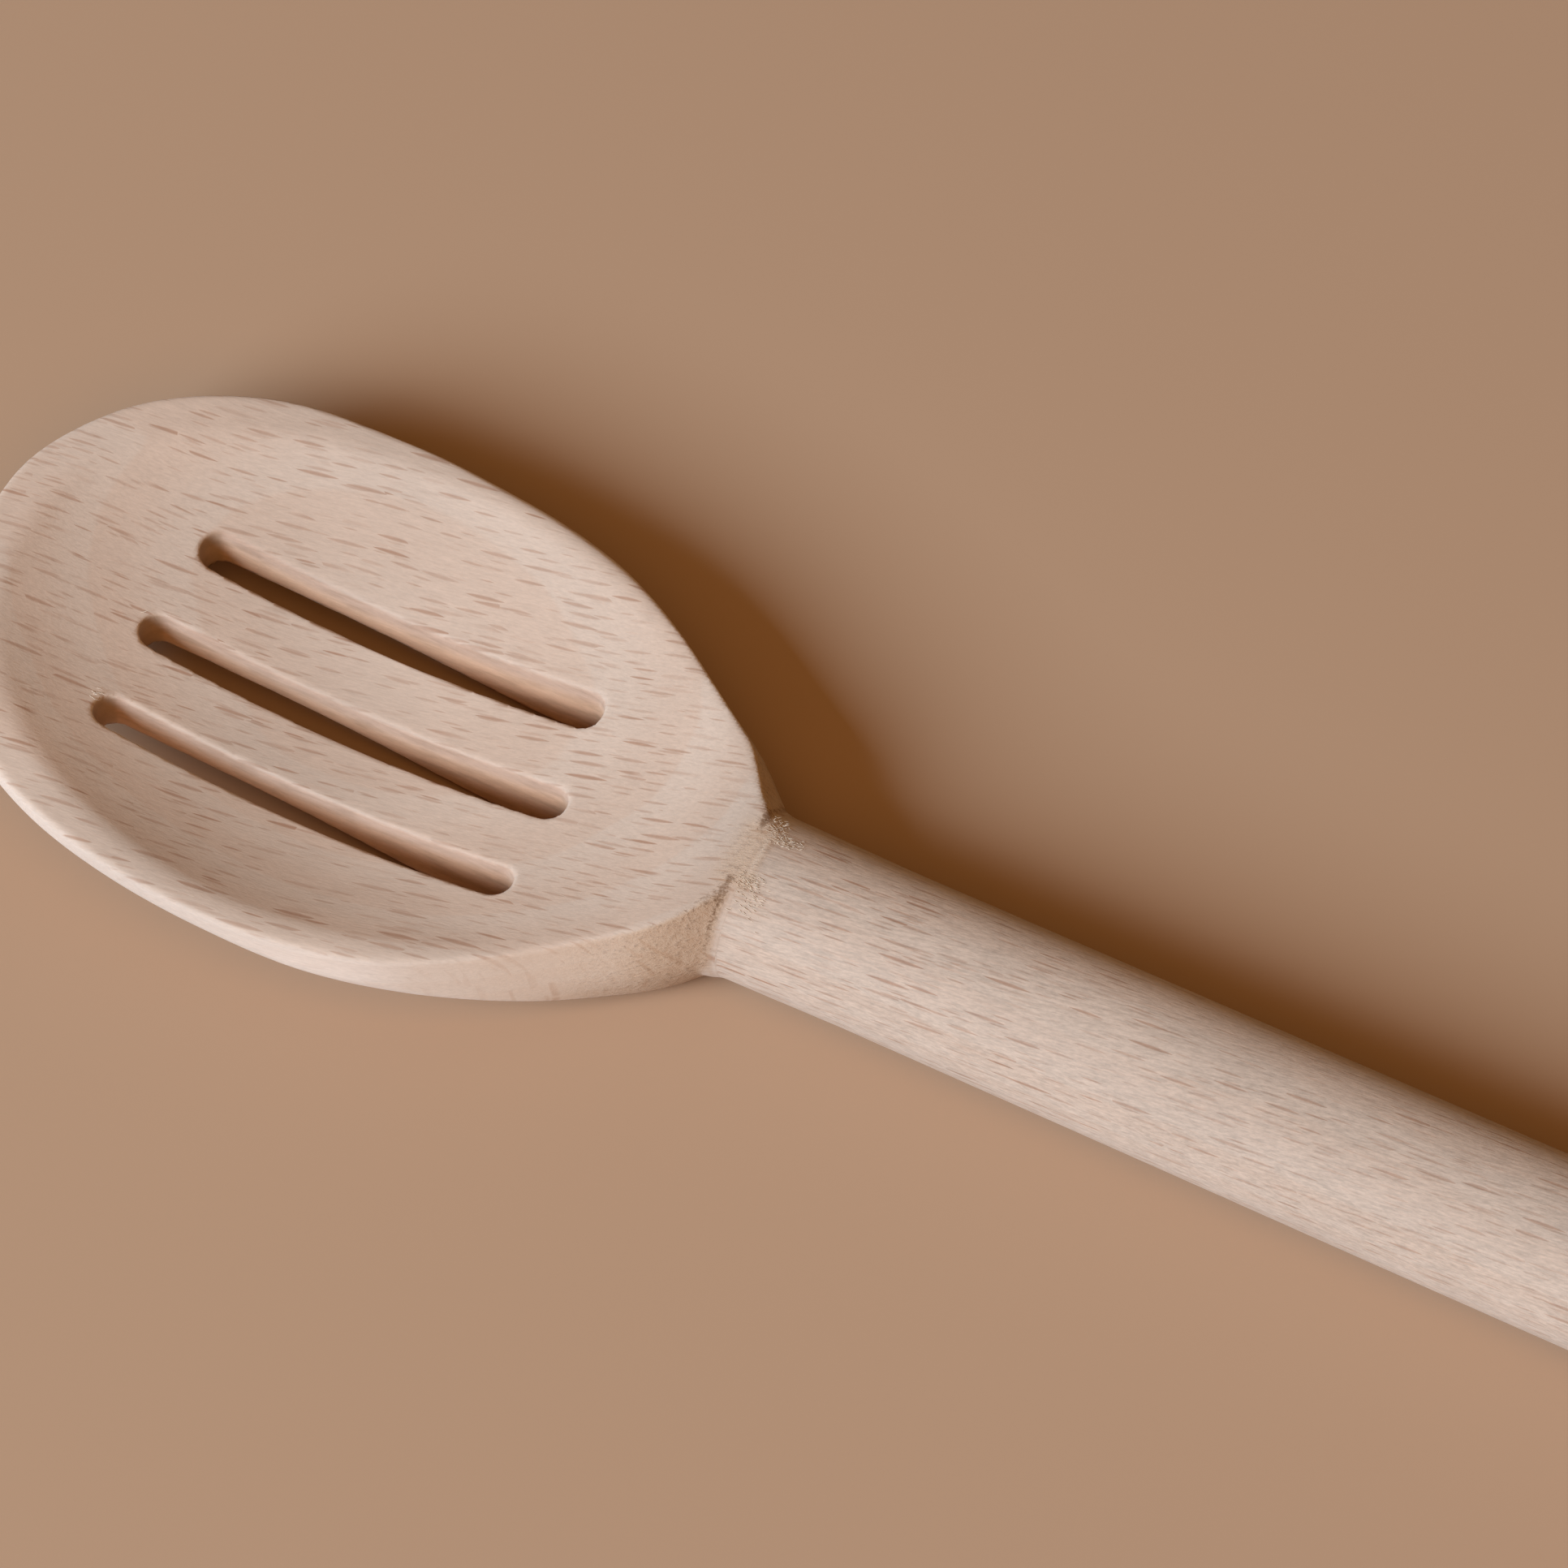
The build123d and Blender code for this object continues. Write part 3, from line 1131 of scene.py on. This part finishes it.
@dataclass
class Relief:
    """Fine relief of a hand-sanded surface and of torn end grain, as Geometry Nodes."""

    wave: float = 0.05
    wave_length: float = 14.0
    tear: float = 0.16
    tear_size: float = 0.7
    seed: float = 4.0
    tear_seed: float = 9.0

    def tree(self) -> Tree:
        """Build the tree, with its sizes as named inputs.

        Returns:
            The tree.
        """
        g = Graph.dressing("Sanded relief", Float=("Wave", "Wave length", "Tear", "Tear size", "Seed"))
        given = g.node("NodeGroupInput").outputs
        place = g.vector("SCALE", g.node("GeometryNodeInputPosition").outputs[0], scale=1 / MM)
        heights = []
        for amount, length, seed in (("Wave", "Wave length", 0.0), ("Tear", "Tear size", self.tear_seed)):
            at = g.vector("SCALE", place, scale=g.math("DIVIDE", 1.0, given[length]))
            noise = g.noise(at, g.math("ADD", given["Seed"], seed))
            heights.append(g.times(g.math("SUBTRACT", noise, 0.5), given[amount]))
        torn = g.node("GeometryNodeInputNamedAttribute", "torn", data_type="FLOAT").outputs[0]
        height = g.times(g.math("ADD", heights[0], g.times(heights[1], torn)), MM)
        offset = g.vector("SCALE", g.node("GeometryNodeInputNormal").outputs[0], scale=height)
        move = g.node("GeometryNodeSetPosition", given["Geometry"], None, None, offset)
        return g.close(move.outputs[0], given["Finish"])

    def dress(self, skin: Thing, finish: Material) -> None:
        """Give a skin its relief and its material.

        Args:
            skin: The spoon's skin.
            finish: Its material.
        """
        values = {
            "Wave": self.wave,
            "Wave length": self.wave_length,
            "Tear": self.tear,
            "Tear size": self.tear_size,
            "Seed": self.seed,
            "Finish": finish,
        }
        dress_with(skin, self.tree(), values)
        bake(skin)


@dataclass(frozen=True)
class FibreShape:
    """How every torn fibre is drawn: its points and sides, how it leans, bends and thins."""

    points: int = 6
    sides: int = 5
    lean: Span = (0.35, 0.9)
    swing: float = 1.6
    shortest: float = 0.35
    bend_scale: float = 1400.0
    bend_middle: Triple = (0.5, 0.5, 0.42)
    taper_span: Span = (1.0, 0.2)
    taper_ends: Span = (0.15, 1.0)

    def tree(self) -> Tree:
        """Build the tree, with its sizes as named inputs.

        Returns:
            The tree.
        """
        sizes = ("Density", "Length", "Thickness", "Rise")
        g = Graph.dressing("Torn fibres", String=("Mask",), Float=sizes, Int=("Seed",))
        given = g.node("NodeGroupInput").outputs
        mask = g.node("GeometryNodeInputNamedAttribute", given["Mask"], data_type="FLOAT")
        roots = g.node("GeometryNodeDistributePointsOnFaces", given["Geometry"], distribute_method="RANDOM")
        dense = g.times(g.math("POWER", mask.outputs[0], 2.0), given["Density"])
        g.feed(roots.inputs["Density"], dense)
        g.feed(roots.inputs["Seed"], given["Seed"])
        line = g.node("GeometryNodeCurvePrimitiveLine", None, (1.0, 0.0, 0.0))
        parts = g.node("GeometryNodeResampleCurve", line.outputs[0], None, self.points)
        low, high = (tuple(sign * size for size in self.lean) + (0.0,) for sign in (-1, 1))
        lean = g.node("FunctionNodeRandomValue", low, high, data_type="FLOAT_VECTOR")
        size = g.node("FunctionNodeRandomValue", None, None, self.shortest, 1.0, data_type="FLOAT")
        for order, chance in enumerate((lean, size), 1):
            g.feed(chance.inputs["Seed"], g.math("ADD", given["Seed"], order))
        swing, rise, _ = g.split(lean.outputs[0])
        rise = g.times(g.math("ABSOLUTE", rise), g.times(given["Rise"], -1.0))
        turn = g.node("ShaderNodeCombineXYZ", None, rise, g.times(swing, self.swing))
        scatter = g.node("GeometryNodeInstanceOnPoints", roots.outputs["Points"], None, parts.outputs[0])
        g.feed(scatter.inputs["Rotation"], turn.outputs[0])
        g.feed(scatter.inputs["Scale"], g.times(size.outputs[1], given["Length"]))
        real = g.node("GeometryNodeRealizeInstances", scatter.outputs[0])
        share = g.node("GeometryNodeSplineParameter").outputs["Factor"]
        place = g.node("GeometryNodeInputPosition").outputs[0]
        bend = g.node("ShaderNodeTexNoise", place, noise_dimensions="3D")
        bend.inputs["Scale"].default_value = self.bend_scale
        away = g.vector("SUBTRACT", bend.outputs[1], self.bend_middle)
        away = g.vector("SCALE", away, scale=g.times(share, given["Length"]))
        curl = g.node("GeometryNodeSetPosition", real.outputs[0], None, None, away)
        taper = g.smooth(share, *self.taper_span, *self.taper_ends)
        thin = g.node("GeometryNodeSetCurveRadius", curl.outputs[0], None, g.times(taper, given["Thickness"]))
        ring = g.node("GeometryNodeCurvePrimitiveCircle", self.sides)
        ring.inputs["Radius"].default_value = 1.0
        radius = g.node("GeometryNodeInputRadius")
        sources = (thin.outputs[0], ring.outputs[0], radius.outputs[0], True)
        tube = g.node("GeometryNodeCurveToMesh", *sources)
        real = g.node("GeometryNodeRealizeInstances", tube.outputs[0])
        return g.close(real.outputs[0], given["Finish"])


@dataclass
class TornFibres:
    """Fibres that the cutter tore up and left, grown on the spoon's own skin."""

    mask: str
    count: float
    length: float
    thickness: float
    rise: float
    seed: int

    def make(self, skin: Thing, tree: Tree, finish: Material) -> Thing:
        """Grow the fibres on a copy of the skin.

        Args:
            skin: The finished spoon.
            tree: The tree of fibres.
            finish: Their material.

        Returns:
            The fibres alone, as a plain mesh.
        """
        thing = added(f"{self.mask}_fibres", skin.data.copy())
        values = {
            "Mask": self.mask,
            "Density": self.count / (MM * MM),
            "Length": self.length * MM,
            "Thickness": self.thickness * MM,
            "Rise": self.rise,
            "Seed": self.seed,
            "Finish": finish,
        }
        dress_with(thing, tree, values)
        return bake(thing)


@dataclass
class Spoon:
    """The spoon: its skin, its relief and its torn fibres."""

    form: SpoonForm = field(default_factory=SpoonForm)
    relief: Relief = field(default_factory=Relief)
    finish: BeechFinish = BeechFinish()
    torn_finish: BeechFinish = BeechFinish(
        early=linear(228, 212, 198), late=linear(218, 196, 176), fleck_strength=0.0, tone=Tone.FRAYED
    )
    frayed: tuple[TornFibres, ...] = (
        TornFibres("fray", count=34.0, length=0.6, thickness=0.04, rise=0.3, seed=5),
        TornFibres("whisker", count=7.0, length=1.4, thickness=0.03, rise=0.15, seed=8),
    )

    def build(self) -> list[Thing]:
        """Make and dress every mesh of the spoon.

        Returns:
            The pieces.
        """
        figure = BeechFigure().group()
        sanded = self.finish.material(figure)
        frayed = self.torn_finish.material(figure)
        skin = self.form.mesh("spoon_body")
        skin.data.materials.append(sanded)
        self.relief.dress(skin, sanded)
        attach(skin, "root")
        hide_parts("spoon")
        pieces = [skin]
        tree = FibreShape().tree()
        for patch in self.frayed:
            fibres = patch.make(skin, tree, frayed)
            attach(fibres, "root")
            pieces.append(fibres)
        return pieces


@dataclass(frozen=True)
class Lamp:
    """A square soft lamp that looks at the spoon.

    It hangs so many degrees round from X and above the floor, with its size and distance in metres, its power
    in watts and its colour in linear light.
    """

    name: str
    turn: float
    climb: float
    size: float
    power: float
    colour: Rgb
    distance: float = 2.5

    def hang(self) -> None:
        """Hang the lamp."""
        data = bpy.data.lights.new(self.name, "AREA")
        data.shape = "SQUARE"
        data.size = self.size
        data.energy = self.power
        data.color = self.colour
        turn, climb = math.radians(self.turn), math.radians(self.climb)
        way = Vector((math.cos(turn) * math.cos(climb), math.sin(turn) * math.cos(climb), math.sin(climb)))
        thing = added(self.name, data)
        thing.rotation_euler = way.to_track_quat("Z", "Y").to_euler()
        thing.location = way * self.distance


@dataclass
class Studio:
    """Floor, lights and camera, which stands where the photograph was taken from."""

    turn: float = 27.0
    climb: float = 58.3
    reach: float = 900.0
    focal: float = 10710.0
    image: float = 1932.0
    film: float = 36.0
    clip: Span = (0.01, 20.0)
    aim: Span = (3.445, 11.43)
    floor_half: float = 1.5
    floor_colour: Rgb = linear(182, 150, 127)
    floor_rough: float = 0.9
    floor_shine: float = 0.1
    world_colour: Rgb = (0.098, 0.051, 0.017)
    lamps: tuple[Lamp, ...] = (
        Lamp("key", 240.0, 33.0, 1.2, 101.3, (0.632, 0.772, 0.847)),
        Lamp("fill", 297.0, 60.0, 2.0, 22.0, (1.0, 0.55, 0.2)),
    )

    def camera(self, form: SpoonForm) -> None:
        """Stand the camera.

        Args:
            form: The spoon's sizes, for the place of its neck.
        """
        turn, climb = math.radians(self.turn), math.radians(self.climb)
        right = Vector((math.cos(turn), math.sin(turn), 0.0))
        back = Vector((math.sin(turn) * math.cos(climb), -math.cos(turn) * math.cos(climb), math.sin(climb)))
        up = back.cross(right)
        neck = Vector((form.shift, 0.0, form.lift)) * MM
        data = bpy.data.cameras.new("camera")
        data.sensor_width = self.film
        data.lens = self.focal / self.image * self.film
        data.clip_start, data.clip_end = self.clip
        thing = added("camera", data)
        turned = Matrix((right, up, back)).transposed().to_4x4()
        place = neck + (right * self.aim[0] + up * self.aim[1] + back * self.reach) * MM
        thing.matrix_world = Matrix.Translation(place) @ turned
        bpy.context.scene.camera = thing

    def floor(self) -> None:
        """Lay the floor under the spoon."""
        half = self.floor_half
        corners = [(-half, -half, 0), (half, -half, 0), (half, half, 0), (-half, half, 0)]
        mesh = bpy.data.meshes.new("floor")
        mesh.from_pydata(corners, [], [range(4)])
        made = bpy.data.materials.new("paper")
        made.use_nodes = True
        shader = made.node_tree.nodes["Principled BSDF"]
        shader.inputs["Base Color"].default_value = (*self.floor_colour, 1.0)
        shader.inputs["Roughness"].default_value = self.floor_rough
        shader.inputs["Specular IOR Level"].default_value = self.floor_shine
        mesh.materials.append(made)
        thing = added("floor", mesh)

    def lights(self) -> None:
        """Hang a broad soft lamp low on the left, a weak warm one overhead, and fill from all round."""
        world = bpy.data.worlds.new("studio")
        world.use_nodes = True
        ground = world.node_tree.nodes["Background"]
        ground.inputs["Color"].default_value = (*self.world_colour, 1.0)
        ground.inputs["Strength"].default_value = 1.0
        bpy.context.scene.world = world
        for lamp in self.lamps:
            lamp.hang()


def main() -> None:
    """Build the scene and note the model's size."""
    logging.basicConfig(level=logging.INFO, format="%(message)s")
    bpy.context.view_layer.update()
    bpy.context.scene.view_settings.view_transform = "Standard"
    spoon = Spoon()
    for piece in spoon.build():
        LOG.info("%s: %d faces", piece.name, len(piece.data.polygons))
    studio = Studio()
    studio.camera(spoon.form)
    studio.floor()
    studio.lights()


if __name__ == "__main__":
    main()
